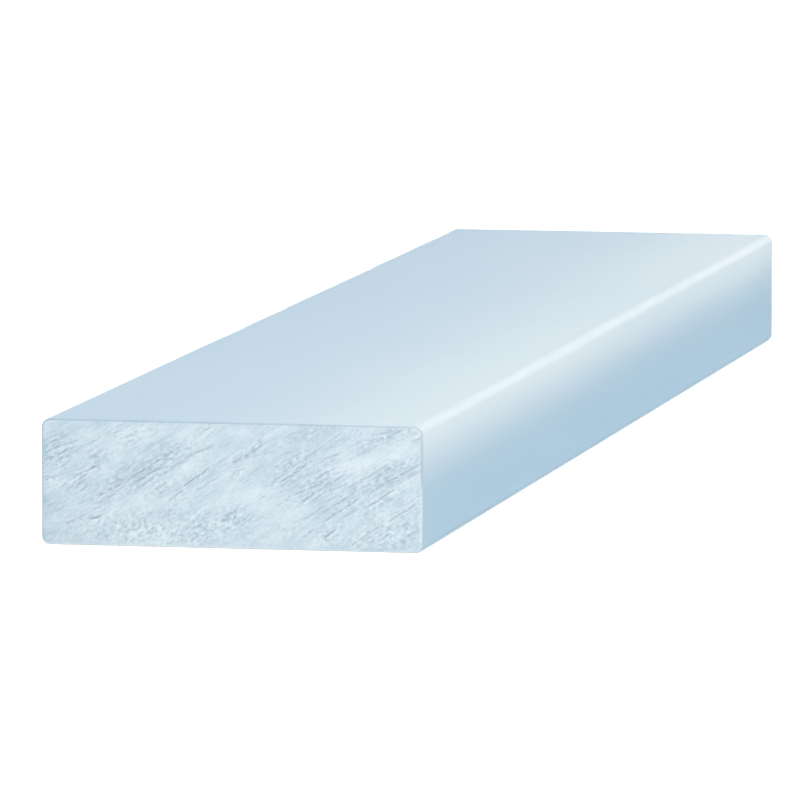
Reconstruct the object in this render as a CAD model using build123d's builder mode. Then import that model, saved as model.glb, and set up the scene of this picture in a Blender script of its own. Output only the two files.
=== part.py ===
from build123d import *
import os

# A cut length of pencil round moulding: one stick of dressed and primed
# timber, rectangular in section, with its four long edges taken off to a
# small pencil radius and both ends sawn square.
#
# Millimetres. X runs across the width, Y along the length, Z up through the
# thickness. The origin is the middle of the face that the stick lies on.

# Section, as a standard dressed size
moulding_width = 92.0
moulding_thickness = 30.0
pencil_radius = 2.0

# The piece shown is a short cut from long stock
cut_length = 500.0

# The sharp edge round each saw cut is sanded off before priming
end_arris_radius = 0.5

with BuildPart() as pencil_round_moulding:
    # The section stands across the length, with its lower side at Z 0
    with BuildSketch(Plane.XZ) as section:
        Rectangle(moulding_width, moulding_thickness, align=(Align.CENTER, Align.MIN))
        fillet(section.vertices(), radius=pencil_radius)
    extrude(amount=cut_length / 2, both=True)

    # Each sawn end keeps its flat face inside a thin rounded arris
    end_faces = pencil_round_moulding.faces().filter_by(Axis.Y)
    fillet(end_faces.edges(), radius=end_arris_radius)

pencil_round_moulding.part.label = "pencil_round_moulding"

os.makedirs("parts", exist_ok=True)
export_step(pencil_round_moulding.part, "parts/pencil_round_moulding.step")
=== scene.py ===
# Pencil round moulding, one short cut length of primed softwood.
# The long faces are smooth under a pale blue primer, the sawn ends show torn grain.
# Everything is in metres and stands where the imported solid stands.

import math

import bpy
import numpy as np
from mathutils import Matrix, Vector


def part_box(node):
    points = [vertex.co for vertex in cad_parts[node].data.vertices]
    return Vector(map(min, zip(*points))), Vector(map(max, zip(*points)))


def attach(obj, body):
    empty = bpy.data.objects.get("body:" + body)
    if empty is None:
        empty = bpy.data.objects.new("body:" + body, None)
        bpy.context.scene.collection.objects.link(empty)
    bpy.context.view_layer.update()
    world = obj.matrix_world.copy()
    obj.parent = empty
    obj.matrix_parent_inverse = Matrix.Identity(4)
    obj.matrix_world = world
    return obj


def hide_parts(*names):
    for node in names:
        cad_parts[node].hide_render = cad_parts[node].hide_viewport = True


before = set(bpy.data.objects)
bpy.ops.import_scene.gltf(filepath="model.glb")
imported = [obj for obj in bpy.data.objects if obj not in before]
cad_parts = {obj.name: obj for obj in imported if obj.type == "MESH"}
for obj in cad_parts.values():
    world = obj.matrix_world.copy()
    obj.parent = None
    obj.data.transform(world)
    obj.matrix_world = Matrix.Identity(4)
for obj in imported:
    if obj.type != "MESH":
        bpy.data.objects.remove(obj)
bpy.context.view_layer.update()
stickLow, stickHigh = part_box("pencil_round_moulding")
middle = (stickLow + stickHigh) / 2
halfWidth = (stickHigh.x - stickLow.x) / 2
halfThickness = (stickHigh.z - stickLow.z) / 2
mm = 0.001
print("packed solid read:", round(stickHigh.y - stickLow.y, 3), "m long")


def screenColour(red, green, blue):
    # A colour as it is read off a screen, 0 to 255, for Blender's colour sockets
    linear = []
    for level in (red, green, blue):
        share = level / 255
        linear.append(share / 12.92 if share <= 0.04045 else ((share + 0.055) / 1.055) ** 2.4)
    return (*linear, 1.0)


# The torn grain of a sawn end, as fields over the points of its face

sawnEnd = {
    "seeds": (11, 29),  # near end, far end
    "lean": 32,  # degrees, the way the grain runs across the section
    "lineWidth": 0.22 * mm,
    "companions": 4,  # fainter lines beside each one in the list
    "companionAside": 1.5,  # how far beside it they spread, in millimetres
    "companionStart": (-0.4, 0.7),  # where they start, as shares of its length
    "companionLength": (0.3, 0.8),
    "companionDepth": (0.3, 0.75),  # shares of its depth
    "lineTaper": 1.15,  # above 1 a line keeps its full depth further out to its ends
    "tearDepth": 0.04 * mm,
    "chipDepth": 0.035 * mm,  # how deep the chips of a rough patch go
    "rimFade": 0.7 * mm,  # the primer fills the grain towards the rim
    "waver": 0.4 * mm,  # how far a torn line strays from straight
    "waverSpot": (1.8 * mm, 1.4 * mm),
    "chipSpot": (0.7 * mm, 0.4 * mm),
    "noiseReach": 200,  # spots of noise either way from the middle
    "patchSpread": 1.3,  # rough patches fade out a little past their size
    "roughBeside": (6, 0.6),  # line widths that a torn line is rough out to, and how rough
    "liftedBeside": (2.2, 1.15),  # line widths out to the fibres lifted beside it, and how pale
    # Soft and hard wood between the zones: length and width of a spot, and how much it tells
    "softSpots": ((6.0 * mm, 3.0 * mm, 0.5), (4.0 * mm, 1.4 * mm, 1.0)),
    "softContrast": 0.44,
    # A painted highlight up the lower part of the right-hand edge, standing for its arris catching the
    # light, and a pale strip along the underside
    "highlightBelow": (17 * mm, 13 * mm),  # heights between which the first comes in
    "paleWithin": 2 * mm,  # of the edge
    "paleUnder": (1.5 * mm, 0.5 * mm),  # heights between which the second comes in
    "paleInside": 0.35 * mm,  # how far it lies inside the rim
    "highlightWidth": 0.4 * mm,
    "highlightLevel": 0.8,
    "paleHides": 0.8,  # share of the dusty line that it hides
    # The dusty line round a saw cut, everywhere, then more at the top; near the left-hand edge painted
    # shade darkens it further
    "dustLeast": 0.35,
    "dustTop": 0.45,
    "dustRises": (14 * mm, 20 * mm),  # heights
    # painted shade: the line darker along the left-hand edge
    "leftShade": 0.5,
    "leftShadeWithin": 4 * mm,  # of the left-hand edge
    "dustWidth": 0.3 * mm,
    "dustOnFace": 0.7,  # how strong it is where the sawn face meets the arris
    # Torn lines: x and height of both ends in millimetres from the middle of the underside, how deep
    "tearLines": (
        (-45.0, 18.7, -40.3, 21.0, 0.9),
        (-45.2, 20.2, -37.7, 23.6, 0.8),
        (-45.2, 22.0, -36.5, 25.3, 0.7),
        (-44.6, 24.0, -38.5, 26.6, 0.55),
        (-45.4, 15.2, -42.6, 16.3, 0.8),
        (-36.2, 23.3, -26.5, 29.0, 0.45),
        (-33.5, 25.5, -25.0, 29.5, 0.3),
        (-28.0, 25.1, -23.6, 27.0, 0.6),
        (-35.6, 20.2, -31.4, 22.4, 0.6),
        (-39.8, 13.4, -34.0, 18.1, 0.9),
        (-38.0, 16.6, -32.4, 19.0, 0.6),
        (-34.2, 18.2, -32.6, 18.9, 1.0),
        (-44.6, 15.4, -37.2, 18.2, 0.35),
        (-37.0, 9.8, -29.5, 13.6, 0.35),
        (-33.0, 11.4, -26.0, 15.0, 0.75),
        (-26.0, 15.0, -13.4, 23.4, 0.75),
        (-29.6, 14.4, -24.2, 17.4, 0.65),
        (-24.0, 15.0, -16.0, 19.4, 0.75),
        (-23.0, 14.0, -14.8, 18.5, 0.55),
        (-22.0, 19.4, -11.0, 24.4, 0.55),
        (-19.0, 13.6, -15.0, 15.8, 0.5),
        (-14.0, 13.0, -4.0, 20.0, 0.75),
        (-12.0, 21.0, -3.8, 24.6, 0.6),
        (-8.8, 13.6, -3.0, 17.2, 0.5),
        (-8.0, 27.0, -4.8, 29.0, 0.6),
        (-18.4, 24.4, -13.6, 27.2, 0.3),
        (-43.2, 3.0, -29.5, 10.8, 0.4),
        (-41.0, 4.6, -36.6, 7.2, 0.5),
        (-34.6, 6.4, -31.4, 7.0, 0.9),
        (-27.0, 4.0, -22.0, 7.2, 0.45),
        (-17.0, 6.4, -13.0, 10.6, 0.4),
        (-0.6, 20.0, 9.0, 25.8, 0.7),
        (3.0, 21.4, 9.0, 23.4, 0.5),
        (-0.4, 17.3, 3.2, 19.4, 0.55),
        (11.8, 22.4, 14.6, 23.8, 0.5),
        (11.0, 26.0, 19.0, 29.4, 0.35),
        (12.0, 18.4, 21.0, 24.0, 0.6),
        (21.0, 24.0, 27.0, 28.4, 0.4),
        (11.4, 15.7, 18.6, 20.8, 0.8),
        (12.4, 16.6, 16.6, 18.9, 0.6),
        (21.4, 21.4, 26.6, 23.6, 0.55),
        (20.0, 16.8, 25.0, 19.8, 0.75),
        (12.0, 12.2, 23.6, 16.6, 0.55),
        (16.4, 10.9, 24.0, 16.8, 0.8),
        (17.0, 12.6, 23.2, 15.8, 0.45),
        (21.4, 6.4, 32.0, 13.6, 0.8),
        (32.0, 13.6, 46.0, 21.4, 0.7),
        (23.0, 11.8, 27.0, 14.2, 0.5),
        (27.4, 14.8, 36.0, 19.6, 0.5),
        (32.0, 10.4, 40.6, 15.8, 0.75),
        (36.0, 15.6, 45.4, 19.2, 0.5),
        (37.4, 7.0, 46.0, 12.6, 0.6),
        (17.0, 3.0, 20.2, 5.4, 0.5),
        (22.0, 3.0, 25.2, 5.4, 0.85),
        (22.6, 4.4, 24.4, 5.6, 0.6),
        (27.6, 0.8, 37.2, 7.2, 0.5),
        (17.4, 7.4, 20.4, 9.2, 0.45),
        (5.0, 6.4, 9.2, 8.6, 0.35),
        (29.0, 22.4, 41.5, 28.4, 0.4),
        (29.6, 25.4, 33.2, 27.0, 0.55),
        (34.4, 26.0, 38.6, 27.6, 0.7),
        (35.4, 28.0, 39.0, 28.8, 0.6),
        (42.0, 4.0, 44.8, 5.4, 0.6),
        (43.4, 26.6, 45.6, 27.4, 0.5),
        (6.5, 11.7, 8.2, 12.9, 0.5),
    ),
    # Rough patches of broken fibre ends: x, height, length, width, lean in degrees, how rough
    "patches": (
        (-42.0, 21.6, 9, 7, 26, 0.55),
        (-33.6, 20.4, 7, 5, 20, 0.65),
        (-37.0, 15.8, 8, 2.4, 40, 0.55),
        (-26.0, 16.2, 12, 4, 30, 0.75),
        (-19.0, 18.2, 14, 6, 30, 0.65),
        (-13.0, 22.6, 12, 4, 26, 0.45),
        (-16.0, 14.2, 8, 3, 28, 0.6),
        (-7.0, 17.0, 10, 2.4, 34, 0.45),
        (-5.4, 27.6, 5, 3, 20, 0.5),
        (5.4, 23.8, 9, 3.6, 28, 0.55),
        (1.0, 18.6, 5, 3, 36, 0.45),
        (15.0, 20.0, 12, 6, 34, 0.6),
        (17.0, 27.0, 12, 4, 26, 0.35),
        (20.4, 15.6, 12, 6.4, 30, 0.6),
        (28.6, 14.4, 12, 5, 31, 0.5),
        (35.0, 17.2, 18, 5, 29, 0.6),
        (36.0, 12.2, 14, 4, 30, 0.5),
        (41.6, 11.0, 10, 4, 30, 0.4),
        (36.4, 27.4, 12, 3.6, 18, 0.65),
        (42.6, 4.8, 5, 3, 25, 0.7),
        (-20.0, 4.0, 34, 9, 0, 0.55),
        (-13.0, 2.6, 12, 3.6, 0, 0.7),
        (-32.6, 6.8, 7, 2, 0, 0.4),
        (-8.0, 5.0, 12, 6, 10, 0.65),
        (0.0, 6.8, 7, 5, 20, 0.8),
        (23.2, 4.4, 7, 3.6, 25, 0.6),
        (38.0, 4.6, 18, 8, 22, 0.6),
        (28.0, 27.0, 10, 4, 20, 0.3),
        (-22.0, 27.0, 14, 4, 28, 0.35),
        (13.0, 4.0, 12, 5, 20, 0.3),
    ),
    # Softer wood above zero, hard pale wood below, and one row of painted shade down the left-hand
    # edge: x, height, length, width, lean, level
    "zones": (
        (-42.0, 22.5, 14, 9, 28, 0.75),
        (-42.5, 10.0, 9, 12, 60, 0.35),
        (-38.0, 3.0, 22, 6, 5, 0.45),
        (-33.5, 19.5, 8, 6, 25, 0.4),
        (-37.5, 15.2, 9, 3, 40, 0.5),
        (-27.0, 14.6, 22, 5, 31, 0.6),
        (-18.5, 19.5, 16, 5, 30, 0.55),
        (-29.0, 27.2, 16, 3.6, 25, 0.1),
        (-16.5, 7.6, 11, 6, 10, 0.4),
        (14.6, 2.4, 9, 5, 20, 0.5),
        (-21.0, 23.0, 6, 3, 30, 0.3),
        (-7.5, 16.6, 13, 2.4, 34, 0.45),
        (-12.0, 5.0, 26, 8, 0, 0.25),
        # painted shade: a soft darker strip down the whole left-hand edge
        (-46.0, 12.0, 2.6, 30, 0, 0.7),
        (1.6, 7.0, 8, 6, 20, 0.45),
        (5.0, 23.4, 11, 3, 28, 0.35),
        (16.0, 24.6, 18, 7, 28, 0.5),
        (14.0, 19.0, 9, 5, 36, 0.7),
        (20.6, 15.0, 13, 6, 33, 0.7),
        (30.0, 13.2, 22, 4.6, 33, 0.65),
        (41.0, 20.2, 12, 3.0, 28, 0.5),
        (24.0, 8.6, 10, 5, 30, 0.35),
        (40.0, 3.5, 14, 5, 15, 0.25),
        (-34.0, 26.0, 8, 3, 28, -0.6),
        (-25.0, 10.4, 11, 6, 15, -0.4),
        (-27.0, 25.0, 9, 4, 28, -0.35),
        (-2.0, 20.5, 9, 4, 30, -0.3),
        (23.0, 19.0, 8, 3, 30, -0.4),
        (41.5, 15.8, 10, 3.6, 30, -0.8),
        (40.5, 25.6, 8, 4, 25, -0.5),
        (-10.0, 18.6, 9, 3.4, 30, -0.7),
        (-12.0, 27.6, 14, 4, 5, -0.5),
        (3.0, 28.0, 9, 4, 0, -0.55),
        (6.0, 14.5, 9, 8, 60, -0.4),
        (12.0, 9.0, 9, 9, 60, -0.35),
        (27.6, 21.0, 9, 6, 30, -0.8),
        (38.0, 23.0, 16, 4, 22, -0.75),
        (36.0, 8.0, 9, 6, 40, -0.45),
        (-35.0, 13.0, 8, 5, 30, 0.35),
    ),
}


def leaning(x, z, centreX, centreZ, lean):
    # The same points, measured along and across a line that leans
    turn = math.radians(lean)
    along = (x - centreX) * math.cos(turn) + (z - centreZ) * math.sin(turn)
    across = (z - centreZ) * math.cos(turn) - (x - centreX) * math.sin(turn)
    return along, across


def rimDistance(x, z):
    # How far each point is inside the rounded outline of the stick
    radius = stick["pencilRadius"]
    outX = np.abs(x) - (halfWidth - radius)
    outZ = np.abs(z - middle.z) - (halfThickness - radius)
    corner = np.hypot(np.maximum(outX, 0), np.maximum(outZ, 0))
    return radius - corner - np.minimum(np.maximum(outX, outZ), 0)


def softNoise(x, z, draw, spot):
    # Random levels from 0 to 1 in smooth spots, stretched the way the grain leans
    long, short = spot
    along, across = leaning(x, z, 0, 0, sawnEnd["lean"])
    reach = sawnEnd["noiseReach"]
    levels = draw.random((2 * reach + 1, 2 * reach + 1))
    u, v = along / long + reach, across / short + reach
    column, row = np.floor(u).astype(int), np.floor(v).astype(int)
    u, v = u - column, v - row
    u, v = u * u * (3 - 2 * u), v * v * (3 - 2 * v)
    below = levels[row, column] * (1 - u) + levels[row, column + 1] * u
    above = levels[row + 1, column] * (1 - u) + levels[row + 1, column + 1] * u
    return below * (1 - v) + above * v


def rampUp(values, start, full):
    # 0 up to where it starts and 1 from where it is full
    return np.clip((values - start) / (full - start), 0, 1)


def oval(x, z, centreX, height, long, wide, lean):
    # A soft oval spot, its place and size in millimetres
    along, across = leaning(x, z, centreX * mm, height * mm, lean)
    return np.exp(-((2 * along / (long * mm)) ** 2) - (2 * across / (wide * mm)) ** 2)


def paintedEdgeHighlight(x, z):
    # Painted highlight on the lower part of the right-hand edge, where its arris would catch the light
    return rampUp(z, *sawnEnd["highlightBelow"]) * rampUp(halfWidth - x, sawnEnd["paleWithin"], 0)


def edgeHighlightAndPaleUnderside(x, z):
    # The painted highlight where it turns over the arris, and a pale strip all along the underside
    return np.maximum(paintedEdgeHighlight(x, z), rampUp(z, *sawnEnd["paleUnder"]))


def cutLevel(x, z):
    # How much of the dusty line shows round a saw cut, with painted shade added near the left-hand
    # edge, and the painted highlight and the pale underside strip hiding it
    upper = sawnEnd["dustTop"] * rampUp(z, *sawnEnd["dustRises"])
    left = sawnEnd["leftShade"] * rampUp(halfWidth + x, sawnEnd["leftShadeWithin"], 0)
    dustAndShade = np.clip(sawnEnd["dustLeast"] + upper + left, 0, 1)
    return dustAndShade * (1 - sawnEnd["paleHides"] * edgeHighlightAndPaleUnderside(x, z))


def withCompanions(draw):
    # Each torn line in the list, and shorter fainter ones that run beside it
    for startX, startZ, endX, endZ, deep in sawnEnd["tearLines"]:
        yield startX, startZ, endX, endZ, deep
        for _ in range(sawnEnd["companions"]):
            stepX, stepZ = endX - startX, endZ - startZ
            long = math.hypot(stepX, stepZ)
            aside = draw.normal(0, sawnEnd["companionAside"]) / long
            first = draw.uniform(*sawnEnd["companionStart"])
            last = first + draw.uniform(*sawnEnd["companionLength"])
            yield (
                startX + first * stepX - aside * stepZ,
                startZ + first * stepZ + aside * stepX,
                startX + last * stepX - aside * stepZ,
                startZ + last * stepZ + aside * stepX,
                deep * draw.uniform(*sawnEnd["companionDepth"]),
            )


def tornGrain(x, z, seed):
    # How deep each point of a sawn end is sunk, and the five levels that its finish reads
    draw = np.random.default_rng(seed)
    waver = (softNoise(x, z, draw, sawnEnd["waverSpot"]) - 0.5) * sawnEnd["waver"]
    chips = softNoise(x, z, draw, sawnEnd["chipSpot"])
    rough, torn, lifted, soft = (np.zeros(x.shape) for _ in range(4))
    spread = sawnEnd["patchSpread"]
    for centreX, height, long, wide, lean, level in sawnEnd["patches"]:
        patch = oval(x, z, centreX, height, spread * long, spread * wide, lean)
        rough = np.maximum(rough, level * patch)
    roughReach, roughShare = sawnEnd["roughBeside"]
    liftedReach, liftedShare = sawnEnd["liftedBeside"]
    for startX, startZ, endX, endZ, deep in withCompanions(draw):
        long = math.hypot(endX - startX, endZ - startZ) * mm
        lean = math.degrees(math.atan2(endZ - startZ, endX - startX))
        along, across = leaning(x, z, (startX + endX) / 2 * mm, (startZ + endZ) / 2 * mm, lean)
        away = np.abs(across + waver) / sawnEnd["lineWidth"]
        here = deep * np.clip(sawnEnd["lineTaper"] - (2 * along / long) ** 4, 0, 1)
        torn = np.maximum(torn, here * np.exp(-(away**2)))
        lifted = np.maximum(lifted, here * np.exp(-((away - liftedReach) ** 2)))
        rough = np.maximum(rough, roughShare * here * np.exp(-((away / roughReach) ** 2)))
    for centreX, height, long, wide, lean, level in sawnEnd["zones"]:
        soft += level * oval(x, z, centreX, height, long, wide, lean)
    for long, wide, share in sawnEnd["softSpots"]:
        soft += share * (softNoise(x, z, draw, (long, wide)) - 0.5)

    inside = rimDistance(x, z)
    # Painted highlight: a pale strip just inside the rim of the lower right-hand edge
    aside = (inside - sawnEnd["paleInside"]) / sawnEnd["highlightWidth"]
    paintedHighlight = sawnEnd["highlightLevel"] * paintedEdgeHighlight(x, z) * np.exp(-(aside**2))
    # The dusty line round the rim, with painted shade near the left-hand edge
    dustAndShade = sawnEnd["dustOnFace"] * cutLevel(x, z) * np.exp(-((inside / sawnEnd["dustWidth"]) ** 2))
    fade = rampUp(inside, 0, sawnEnd["rimFade"])
    relief = sawnEnd["tearDepth"] * torn + sawnEnd["chipDepth"] * rough * chips
    sunk = fade * fade * (3 - 2 * fade) * relief
    pale = np.maximum(liftedShare * lifted * chips, paintedHighlight)
    return sunk, (torn, pale, rough, 0.5 + sawnEnd["softContrast"] * soft, dustAndShade)


# The stick: one closed skin, from the near saw cut along to the far one

stick = {
    "pencilRadius": 2.0 * mm,  # the four long edges
    "arrisRadius": 0.5 * mm,  # the sanded edge round each saw cut
    "endGrid": 0.28 * mm,  # size of the squares on a sawn end
    "pencilSteps": 8,
    "arrisSteps": 4,
    "edgeLoop": 0.6 * mm,  # a ring close behind each arris keeps the long faces flat
    "bays": 8,  # lengths that the long faces are divided into
    "endMapScale": 8.1,  # share of the texture map per metre, more for the grain of the ends
    "longMapScale": 1.93,
    "mapMargin": 0.008,
}
# What the finishes read at each point, from 0 to 1; the soft band level is 0.5 in wood neither soft
# nor hard, and also carries painted shade down the left-hand edge of a sawn end
levelNames = ("tornGrain", "liftedGrainAndHighlight", "roughGrain", "softBandAndEdgeShade", "cutLine")
rowCount = round(2 * (halfThickness - stick["pencilRadius"]) / stick["endGrid"])
columnCount = round(2 * halfWidth / stick["endGrid"])


def sectionGrid(inset):
    # A grid over the section, each row as wide as the rounded outline is at its height
    radius = stick["pencilRadius"] - inset
    coreX = halfWidth - stick["pencilRadius"]
    coreZ = halfThickness - stick["pencilRadius"]
    turn = np.linspace(0, math.pi / 2, stick["pencilSteps"] + 1)
    flat = np.linspace(-coreZ, coreZ, rowCount + 1)[1:-1]
    angle = np.concatenate([turn - math.pi / 2, flat * 0, turn])
    core = np.concatenate([turn * 0 - coreZ, flat, turn * 0 + coreZ])
    height = middle.z + core + radius * np.sin(angle)
    span = coreX + radius * np.cos(angle)
    x = np.outer(span, np.linspace(-1, 1, columnCount + 1))
    z = np.repeat(height[:, None], columnCount + 1, axis=1)
    return x, z


def rim(grid):
    # Once round the edge of a grid: up the right side, along the top, down, and back
    return np.concatenate([grid[:, -1], grid[-1, -2:0:-1], grid[::-1, 0], grid[0, 1:-1]])


def layPoints():
    # The points of the skin in blocks: the two sawn faces, and the rings between them
    arris = stick["arrisRadius"]
    faceX, faceZ = sectionGrid(arris)
    points, flatPlace, levels = [], [], []

    def addPoints(x, y, z, place, looks):
        first = sum(len(block) for block in points)
        points.append(np.stack([x, y, z], axis=-1).reshape(-1, 3))
        flatPlace.append(np.stack(place, axis=-1).reshape(-1, 2))
        levels.append(np.stack(looks, axis=-1).reshape(-1, len(levelNames)))
        return first + np.arange(x.size).reshape(x.shape)

    def addEnd(y, inward, seed):
        sunk, looks = tornGrain(faceX, faceZ, seed)
        return addPoints(faceX, y + inward * sunk, faceZ, (faceX, faceZ), looks)

    def addRing(y, inset, mapInset=0, line=0):
        x, z = (rim(side) for side in sectionGrid(inset))
        place = tuple(rim(side) for side in sectionGrid(mapInset))
        none = x * 0
        # On the arris: the painted highlight and the pale underside strip as pale grain, and the dusty
        # line with its painted shade
        looks = (none, line * edgeHighlightAndPaleUnderside(x, z), none, none + 0.5, line * cutLevel(x, z))
        return addPoints(x, none + y, z, place, looks)

    nearFace = addEnd(stickLow.y, 1, sawnEnd["seeds"][0])
    nearRings, farRings = [rim(nearFace)], []
    for step in range(1, stick["arrisSteps"] + 1):
        turn = step / stick["arrisSteps"] * math.pi / 2
        inset, back = arris * (1 - math.sin(turn)), arris * (1 - math.cos(turn))
        mapInset = arris - arris * turn
        line = math.cos(turn) ** 0.5
        nearRings.append(addRing(stickLow.y + back, inset, mapInset, line))
        farRings.append(addRing(stickHigh.y - back, inset, mapInset, line))
    lead = arris + stick["edgeLoop"]
    stations = np.linspace(stickLow.y + lead, stickHigh.y - lead, stick["bays"] + 1)
    longRings = [nearRings[-1], *(addRing(y, 0) for y in stations), farRings[-1]]
    farFace = addEnd(stickHigh.y, -1, sawnEnd["seeds"][1])
    farRings.insert(0, rim(farFace))
    return {
        "points": np.concatenate(points),
        "flatPlace": np.concatenate(flatPlace),
        "levels": np.concatenate(levels),
        "nearEnd": (nearFace, nearRings),
        "farEnd": (farFace, farRings),
        "longRings": longRings,
    }


def gridQuads(index):
    return np.stack([index[:-1, :-1], index[:-1, 1:], index[1:, 1:], index[1:, :-1]], axis=-1)


def bandQuads(here, there):
    return np.stack([here, there, np.roll(there, -1), np.roll(here, -1)], axis=-1)


def ringLengths(ring):
    # Distance run round the section at each point, and back at the start
    steps = np.linalg.norm(np.roll(ring, -1, axis=0) - ring, axis=1)
    return np.concatenate([[0], np.cumsum(steps)])


def layQuads(skin):
    # The quads of the skin, their corners on the texture map, and which of them are sawn wood
    quads, maps, sawn = [], [], []

    def addQuads(corners, uv, isSawn):
        quads.append(corners.reshape(-1, 4))
        maps.append(uv.reshape(-1, 4, 2))
        sawn.append(np.full(corners.size // 4, isSawn))

    # Each end lies flat on the map with its arris round it, the far one mirrored to face outwards
    arris = stick["arrisRadius"]
    endHeight = (2 * halfThickness + 2 * arris) * stick["endMapScale"] + stick["mapMargin"]
    for (face, rings), side, level in (
        (skin["nearEnd"], 1, 1 - endHeight),
        (skin["farEnd"], -1, 1 - 2 * endHeight),
    ):
        for corners in [gridQuads(face)] + [bandQuads(a, b) for a, b in zip(rings, rings[1:])]:
            corners = corners.reshape(-1, 4)[:, ::side]
            place = skin["flatPlace"][corners] * (side, 1) + (halfWidth + arris, -stickLow.z)
            addQuads(corners, place * stick["endMapScale"] + (stick["mapMargin"], level), True)

    # The long faces lie unrolled below them
    longRings = skin["longRings"]
    around = ringLengths(skin["points"][longRings[1]])
    start, end = around[:-1], around[1:]
    sideways = np.stack([start, start, end, end], axis=-1) * stick["longMapScale"]
    for here, there in zip(longRings, longRings[1:]):
        corners = bandQuads(here, there)
        lengthwise = (skin["points"][corners][..., 1] - stickLow.y) * stick["longMapScale"]
        addQuads(corners, np.stack([lengthwise, sideways], axis=-1) + stick["mapMargin"], False)
    return np.concatenate(quads), np.concatenate(maps), np.concatenate(sawn)


def buildStick():
    skin = layPoints()
    quads, maps, sawn = layQuads(skin)
    mesh = bpy.data.meshes.new("pencilRoundStick")
    mesh.from_pydata(skin["points"].tolist(), [], quads.tolist())
    mesh.uv_layers.new(name="OFBake").data.foreach_set("uv", maps.ravel())
    mesh.polygons.foreach_set("material_index", sawn.astype(np.int32))
    mesh.polygons.foreach_set("use_smooth", np.ones(len(mesh.polygons), bool))
    for column, name in enumerate(levelNames):
        layer = mesh.attributes.new(name, "FLOAT", "POINT")
        layer.data.foreach_set("value", np.clip(skin["levels"][:, column], 0, 1).astype(np.float32))
    mesh.update()
    piece = bpy.data.objects.new("pencilRoundStick", mesh)
    bpy.context.scene.collection.objects.link(piece)
    rows, columns = skin["nearEnd"][0].shape
    print("stick skinned:", len(mesh.polygons), "quads,", rows, "by", columns, "points on each end")
    return piece


# Finishes

primer = {
    "colour": screenColour(191, 218, 235),
    "cloud": screenColour(196, 221, 236),  # where the coat lies a touch thinner
    "roughness": 0.42,
    "shineVaries": 0.04,  # more or less rough along the fibres
    "specular": 0.35,
    "cloudSize": 14,  # clouds per metre across
    "cloudStretch": 3,
    "cloudRamp": (0.35, 0.7),  # levels of the pattern from no cloud to full cloud
    "sprayGrain": 2600,  # dots of spray texture per metre
    "sprayRelief": 0.012 * mm,
    "fibreGrain": 900,  # fibres per metre across, raised a little under the coat
    "fibreStretch": 50,
    "fibreRelief": 0.015 * mm,
}
endGrain = {
    "colour": screenColour(208, 226, 236),
    "band": screenColour(189, 211, 224),  # softer wood, takes the primer darker; also painted shade down the left-hand edge
    "calm": screenColour(229, 240, 246),
    "tear": screenColour(136, 159, 176),
    # pale lifted fibres, and the painted highlight on the lower right-hand edge
    "lipAndHighlight": screenColour(240, 250, 255),
    "cut": screenColour(170, 191, 206),  # bare, dusty line round the saw cut, darker near the left-hand edge as painted shade
    "roughness": 0.62,
    "specular": 0.3,
    # Three patterns along the grain, each by the size across it and the stretch along it
    "dots": (0.7 * mm, 1.7),  # broken fibre ends
    "streaks": (0.5 * mm, 4.5),
    "dashes": (0.8 * mm, 1.3),  # the pieces that a torn line is broken into
    # Levels of a pattern from no effect to full effect
    "dashRamp": (0.38, 0.55),
    "dashLeast": 0.2,  # what shows of a torn line between its dashes
    "roughStreakRamp": (0.54, 0.8),
    "roughDotRamp": (0.51, 0.71),
    "softRamp": (0.1, 1.3),
    "softStreakRamp": (0.5, 0.85),
    "fleckRamp": (0.48, 0.26),
    "fleckLeast": 0.12,  # pale flecks where the face isn't rough
    "strandRamp": (0.45, -0.1),
}


def nodeIn(tree, kind, settings=None, **inputs):
    # A new node, its settings, and its sockets set to a value or linked from a socket.
    # A socket goes by its name with _ for each space, or by its number, as in i0.
    node = tree.nodes.new(kind)
    for name, value in (settings or {}).items():
        setattr(node, name, value)
    for name, value in inputs.items():
        socket = node.inputs[int(name[1:]) if name[1:].isdigit() else name.replace("_", " ")]
        if isinstance(value, bpy.types.NodeSocket):
            tree.links.new(value, socket)
        else:
            socket.default_value = value
    return node


def newFinish(name, roughness, specular):
    material = bpy.data.materials.new(name)
    material.use_nodes = True
    tree = material.node_tree
    shader = tree.nodes["Principled BSDF"]
    shader.inputs["Roughness"].default_value = roughness
    shader.inputs["Specular IOR Level"].default_value = specular
    return material, tree, shader


def stretchedPlace(tree, stretch, lean=0):
    # Object coordinates in which a pattern comes out stretched, and leaning in the section
    place = nodeIn(tree, "ShaderNodeTexCoord").outputs["Object"]
    turn = (0, -math.radians(lean), 0)
    kind = {"vector_type": "TEXTURE"}
    node = nodeIn(tree, "ShaderNodeMapping", kind, i0=place, Scale=stretch, Rotation=turn)
    return node.outputs["Vector"]


def mixColours(tree, amount, first, second):
    node = nodeIn(tree, "ShaderNodeMix", {"data_type": "RGBA"}, i0=amount, i6=first, i7=second)
    return node.outputs[2]


def rampBetween(tree, value, ends, levels=(0.0, 1.0)):
    # One level at the first end, the other at the second, and a straight run between them
    sockets = {"From_Min": ends[0], "From_Max": ends[1], "To_Min": levels[0], "To_Max": levels[1]}
    return nodeIn(tree, "ShaderNodeMapRange", Value=value, **sockets).outputs["Result"]


def mathOf(tree, operation, *values, clamp=True):
    sockets = {f"i{index}": value for index, value in enumerate(values)}
    settings = {"operation": operation, "use_clamp": clamp}
    return nodeIn(tree, "ShaderNodeMath", settings, **sockets).outputs[0]


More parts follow.
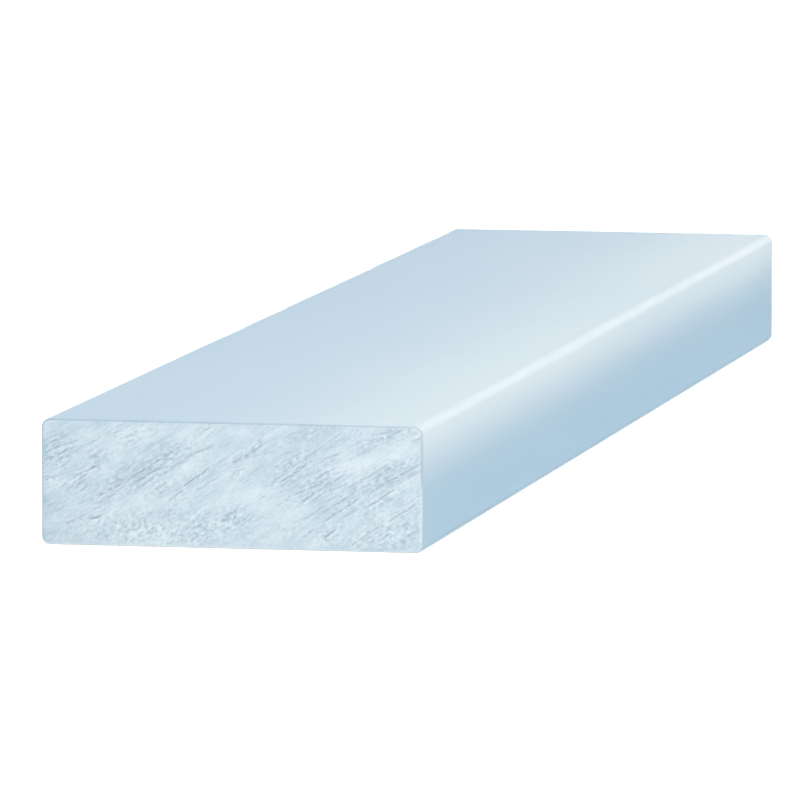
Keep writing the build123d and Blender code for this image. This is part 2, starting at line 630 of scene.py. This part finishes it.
def primerFinish():
    material, tree, shader = newFinish("paleBluePrimer", primer["roughness"], primer["specular"])

    def noise(stretch, scale, detail):
        place = stretchedPlace(tree, stretch)
        node = nodeIn(tree, "ShaderNodeTexNoise", Vector=place, Scale=scale, Detail=detail)
        return node.outputs["Fac"]

    def bump(depth, height, **below):
        return nodeIn(tree, "ShaderNodeBump", Distance=depth, Height=height, **below).outputs["Normal"]

    cloud = noise((1, primer["cloudStretch"], 1), primer["cloudSize"], 3.0)
    amount = rampBetween(tree, cloud, primer["cloudRamp"])
    colour = mixColours(tree, amount, primer["colour"], primer["cloud"])
    tree.links.new(colour, shader.inputs["Base Color"])
    spray = noise((1, 1, 1), primer["sprayGrain"], 1.0)
    fibre = noise((1, primer["fibreStretch"], 1), primer["fibreGrain"], 2.0)
    low = primer["roughness"] - primer["shineVaries"]
    high = primer["roughness"] + primer["shineVaries"]
    tree.links.new(rampBetween(tree, fibre, (0.0, 1.0), (low, high)), shader.inputs["Roughness"])
    raised = bump(primer["fibreRelief"], fibre)
    sprayed = bump(primer["sprayRelief"], spray, Normal=raised)
    tree.links.new(sprayed, shader.inputs["Normal"])
    return material


def endGrainFinish():
    material, tree, shader = newFinish("sawnEndGrain", endGrain["roughness"], endGrain["specular"])

    def fromPoints(name):
        return nodeIn(tree, "ShaderNodeAttribute", {"attribute_name": name}).outputs["Fac"]

    def fibres(name, detail):
        size, stretch = endGrain[name]
        place = stretchedPlace(tree, (stretch, 1, 1), sawnEnd["lean"])
        noise = nodeIn(tree, "ShaderNodeTexNoise", Vector=place, Scale=1 / size, Detail=detail)
        return noise.outputs["Fac"]

    def ramped(value, name):
        return rampBetween(tree, value, endGrain[name])

    def times(first, second):
        return mathOf(tree, "MULTIPLY", first, second)

    def plus(first, second):
        return mathOf(tree, "ADD", first, second)

    def strongest(level, *layers):
        for layer in layers:
            level = mathOf(tree, "MAXIMUM", level, layer)
        return level

    rough, soft = fromPoints("roughGrain"), fromPoints("softBandAndEdgeShade")
    dots, streaks, dashes = fibres("dots", 1.0), fibres("streaks", 2.0), fibres("dashes", 1.0)

    # Dark: the torn lines, broken up, then streaks and dots where the face is rough or soft
    dark = strongest(
        times(fromPoints("tornGrain"), plus(ramped(dashes, "dashRamp"), endGrain["dashLeast"])),
        times(rough, ramped(streaks, "roughStreakRamp")),
        times(rough, ramped(dots, "roughDotRamp")),
        times(ramped(soft, "softRamp"), ramped(streaks, "softStreakRamp")),
    )
    # Pale: flecks between the dots, strands between the streaks, the lifted fibres, and the painted
    # highlight on the lower right-hand edge
    pale = strongest(
        times(plus(rough, endGrain["fleckLeast"]), ramped(dots, "fleckRamp")),
        ramped(streaks, "strandRamp"),
        fromPoints("liftedGrainAndHighlight"),
    )

    colour = endGrain["colour"]
    for amount, over in (
        (rampBetween(tree, soft, (0.5, 1.0)), "band"),
        (rampBetween(tree, soft, (0.5, 0.0)), "calm"),
        (pale, "lipAndHighlight"),
        (dark, "tear"),
        (fromPoints("cutLine"), "cut"),
    ):
        colour = mixColours(tree, amount, colour, endGrain[over])
    tree.links.new(colour, shader.inputs["Base Color"])
    return material


moulding = buildStick()
moulding.data.materials.append(primerFinish())
moulding.data.materials.append(endGrainFinish())
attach(moulding, "root")
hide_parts("pencil_round_moulding")
print("primer and sawn ends finished")


# Floor and world: white to the camera, with the stick's own soft shadow

studio = {
    "floorSize": 30.0,
    "floorColour": (0.85, 0.85, 0.85, 1.0),
    "floorTopUp": 0.68,  # lifts the lit floor to white in the picture, and leaves the shadow in it
    "farTopUp": 1.0,  # the same far away, where the lamps hardly reach
    "topUpReach": (0.5, 1.6),  # metres from the stick over which one turns into the other
    "floorMirrored": 0.45,  # top-up of the floor as the primer mirrors it
    "skyColour": (0.38, 0.76, 1.0, 1.0),
    "skyLevel": 0.24,
}


def seenLevel(tree, direct, mirrored):
    # One level for camera rays, another for mirror and glass rays, none for the light itself
    rays = nodeIn(tree, "ShaderNodeLightPath").outputs
    bounced = mathOf(tree, "MAXIMUM", rays["Is Glossy Ray"], rays["Is Transmission Ray"])
    faint = mathOf(tree, "MULTIPLY", bounced, mirrored)
    return mathOf(tree, "MULTIPLY_ADD", rays["Is Camera Ray"], direct, faint, clamp=False)


def layFloor():
    half = studio["floorSize"] / 2
    mesh = bpy.data.meshes.new("studioFloor")
    corners = ((-half, -half), (half, -half), (half, half), (-half, half))
    mesh.from_pydata([(x, y, stickLow.z) for x, y in corners], [], [(0, 1, 2, 3)])
    floor = bpy.data.objects.new("studioFloor", mesh)
    bpy.context.scene.collection.objects.link(floor)
    material = bpy.data.materials.new("paleFloor")
    material.use_nodes = True
    tree = material.node_tree
    tree.nodes.clear()
    lit = nodeIn(tree, "ShaderNodeBsdfDiffuse", Color=studio["floorColour"])
    place = nodeIn(tree, "ShaderNodeTexCoord").outputs["Object"]
    away = nodeIn(tree, "ShaderNodeVectorMath", {"operation": "LENGTH"}, i0=place).outputs["Value"]
    topUp = rampBetween(tree, away, studio["topUpReach"], (studio["floorTopUp"], studio["farTopUp"]))
    seen = seenLevel(tree, topUp, studio["floorMirrored"])
    glow = nodeIn(tree, "ShaderNodeEmission", Strength=seen)
    both = nodeIn(tree, "ShaderNodeAddShader", i0=lit.outputs[0], i1=glow.outputs[0])
    nodeIn(tree, "ShaderNodeOutputMaterial", Surface=both.outputs[0])
    mesh.materials.append(material)


def lightSky():
    world = bpy.data.worlds.new("studioSky")
    bpy.context.scene.world = world
    world.use_nodes = True
    tree = world.node_tree
    tree.nodes.clear()
    soft = nodeIn(tree, "ShaderNodeBackground", Color=studio["skyColour"], Strength=studio["skyLevel"])
    white = nodeIn(tree, "ShaderNodeBackground", Color=(1, 1, 1, 1), Strength=1.0)
    seen = seenLevel(tree, 1.0, 1.0)
    both = nodeIn(tree, "ShaderNodeMixShader", i0=seen, i1=soft.outputs[0], i2=white.outputs[0])
    nodeIn(tree, "ShaderNodeOutputWorld", Surface=both.outputs[0])


# Lamps, each placed from the middle of the stick and aimed at a point on it

lamps = {
    "keyAbove": {
        "from": (0.8, 0.0, 1.9),
        "to": (0, 0, 0),
        "size": (1.6, 1.6),
        "power": 22.6,
        "colour": (0.84, 1.01, 1.13),
    },
    "endLamp": {
        "from": (-0.5, -2.4, 0.8),
        "to": (0, 0, 0),
        "size": (1.0, 1.0),
        "power": 29.7,
        "colour": (1.11, 0.98, 0.90),
    },
    "lowBehind": {
        "from": (-0.4, 2.4, 0.9),
        "to": (0, 0, 0),
        "size": (1.2, 1.2),
        "power": 2.0,
        "colour": (1.0, 0.44, 0.02),
    },
    # Three strips as long as the stick, for the bright ridge and the glow on either side of it
    "ridgeStrip": {
        "from": (0.0591, 0.0, 0.0191),
        "to": (0.045, 0, 0.014),
        "size": (0.006, 0.8),
        "power": 0.0086,
        "colour": (1.12, 0.93, 0.95),
    },
    "sideStrip": {
        "from": (0.3269, 0.0, 0.1166),
        "to": (0.045, 0, 0.014),
        "size": (0.016, 0.8),
        "power": 0.0233,
        "colour": (1.0, 0.54, 0.27),
        "spread": 4,  # degrees
    },
    "topStrip": {
        "from": (0.195, 0.0, 0.2938),
        "to": (0.045, 0, 0.034),
        "size": (0.06, 0.8),
        "power": 0.034,
        "colour": (1.0, 0.62, 0.24),
        "spread": 20,
    },
    # Lamps no higher than the stick, for the two faces turned away from the photograph
    "leftFill": {
        "from": (-1.6, 0.0, 0.0),
        "to": (0, 0, 0),
        "size": (0.028, 2.0),
        "power": 3.0,
        "colour": (0.98, 1.0, 1.02),
    },
    "backFill": {
        "from": (-0.3, 1.8, 0.0),
        "to": (0, 0, 0),
        "size": (0.028, 0.4),
        "power": 10.0,
        "colour": (1.0, 1.0, 1.0),
    },
}


def hangLamp(name, lamp):
    data = bpy.data.lights.new(name, "AREA")
    data.shape = "RECTANGLE"
    data.size, data.size_y = lamp["size"]
    data.energy = lamp["power"]
    data.color = lamp["colour"]
    data.spread = math.radians(lamp.get("spread", 180))
    lampObject = bpy.data.objects.new(name, data)
    start, target = middle + Vector(lamp["from"]), middle + Vector(lamp["to"])
    away = (start - target).normalized()
    across = Vector((0, 1, 0)).cross(away).normalized()
    lengthwise = away.cross(across)
    turn = Matrix((across, lengthwise, away)).transposed()
    lampObject.matrix_world = Matrix.Translation(start) @ turn.to_4x4()
    lampObject.visible_camera = False
    bpy.context.scene.collection.objects.link(lampObject)


# The camera stands low, in front of the near end and to its right

camera = {
    "yaw": 11.44,  # degrees, how far to the right of the end face it stands
    "pitch": 6.18,  # degrees above level
    "distance": 2.749,  # from the middle of the stick
    "slideRight": -0.00984,
    "slideUp": -0.00615,
    "lens": 478.15,
    "sensor": 36.0,
    "clipEnd": 100.0,
}


def standCamera():
    yaw, pitch = math.radians(camera["yaw"]), math.radians(camera["pitch"])
    right = Vector((math.cos(yaw), math.sin(yaw), 0))
    back = Vector((math.sin(yaw) * math.cos(pitch), -math.cos(yaw) * math.cos(pitch), math.sin(pitch)))
    up = back.cross(right)
    place = middle + back * camera["distance"] + right * camera["slideRight"] + up * camera["slideUp"]
    data = bpy.data.cameras.new("photoCamera")
    data.lens = camera["lens"]
    data.sensor_width = camera["sensor"]
    data.clip_end = camera["clipEnd"]
    cameraObject = bpy.data.objects.new("photoCamera", data)
    turn = Matrix((right, up, back)).transposed()
    cameraObject.matrix_world = Matrix.Translation(place) @ turn.to_4x4()
    bpy.context.scene.collection.objects.link(cameraObject)
    bpy.context.scene.camera = cameraObject


layFloor()
lightSky()
for lampName, lampValues in lamps.items():
    hangLamp(lampName, lampValues)
standCamera()
bpy.context.scene.view_settings.view_transform = "Standard"
print("floor, sky, lamps and camera set")
